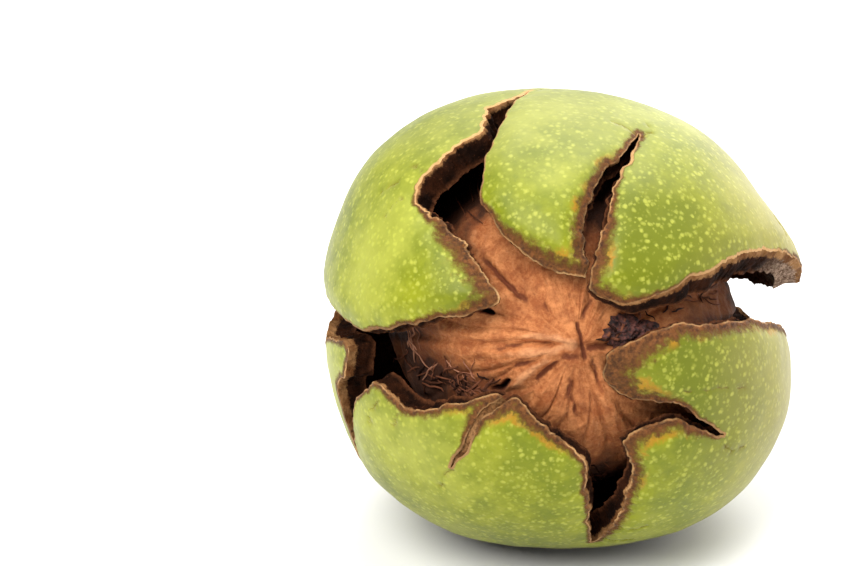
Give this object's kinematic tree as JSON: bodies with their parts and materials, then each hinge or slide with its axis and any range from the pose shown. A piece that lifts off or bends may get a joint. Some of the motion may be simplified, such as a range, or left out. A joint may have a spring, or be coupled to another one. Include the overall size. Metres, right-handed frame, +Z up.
{
  "type": "walnut in husk",
  "caption": "Ripe walnut lying on its side, its green husk burst into ragged lobes round a ridged brown nut.",
  "frame": {"origin": "centre of the small flat that the husk rests on", "axes": "+Z up; the split tip looks along -Y and 14.5 degrees up, and the stem end is towards +Y"},
  "size_m": [0.0516, 0.0523, 0.0491],
  "materials": {
    "husk_skin": "yellow-green skin with pale freckles, satin, browned where it is torn",
    "nut_shell": "matt orange-brown fibrous shell"
  },
  "bodies": {
    "root": {"husk": "husk_skin", "nut": "nut_shell"}
  },
  "joints": []
}
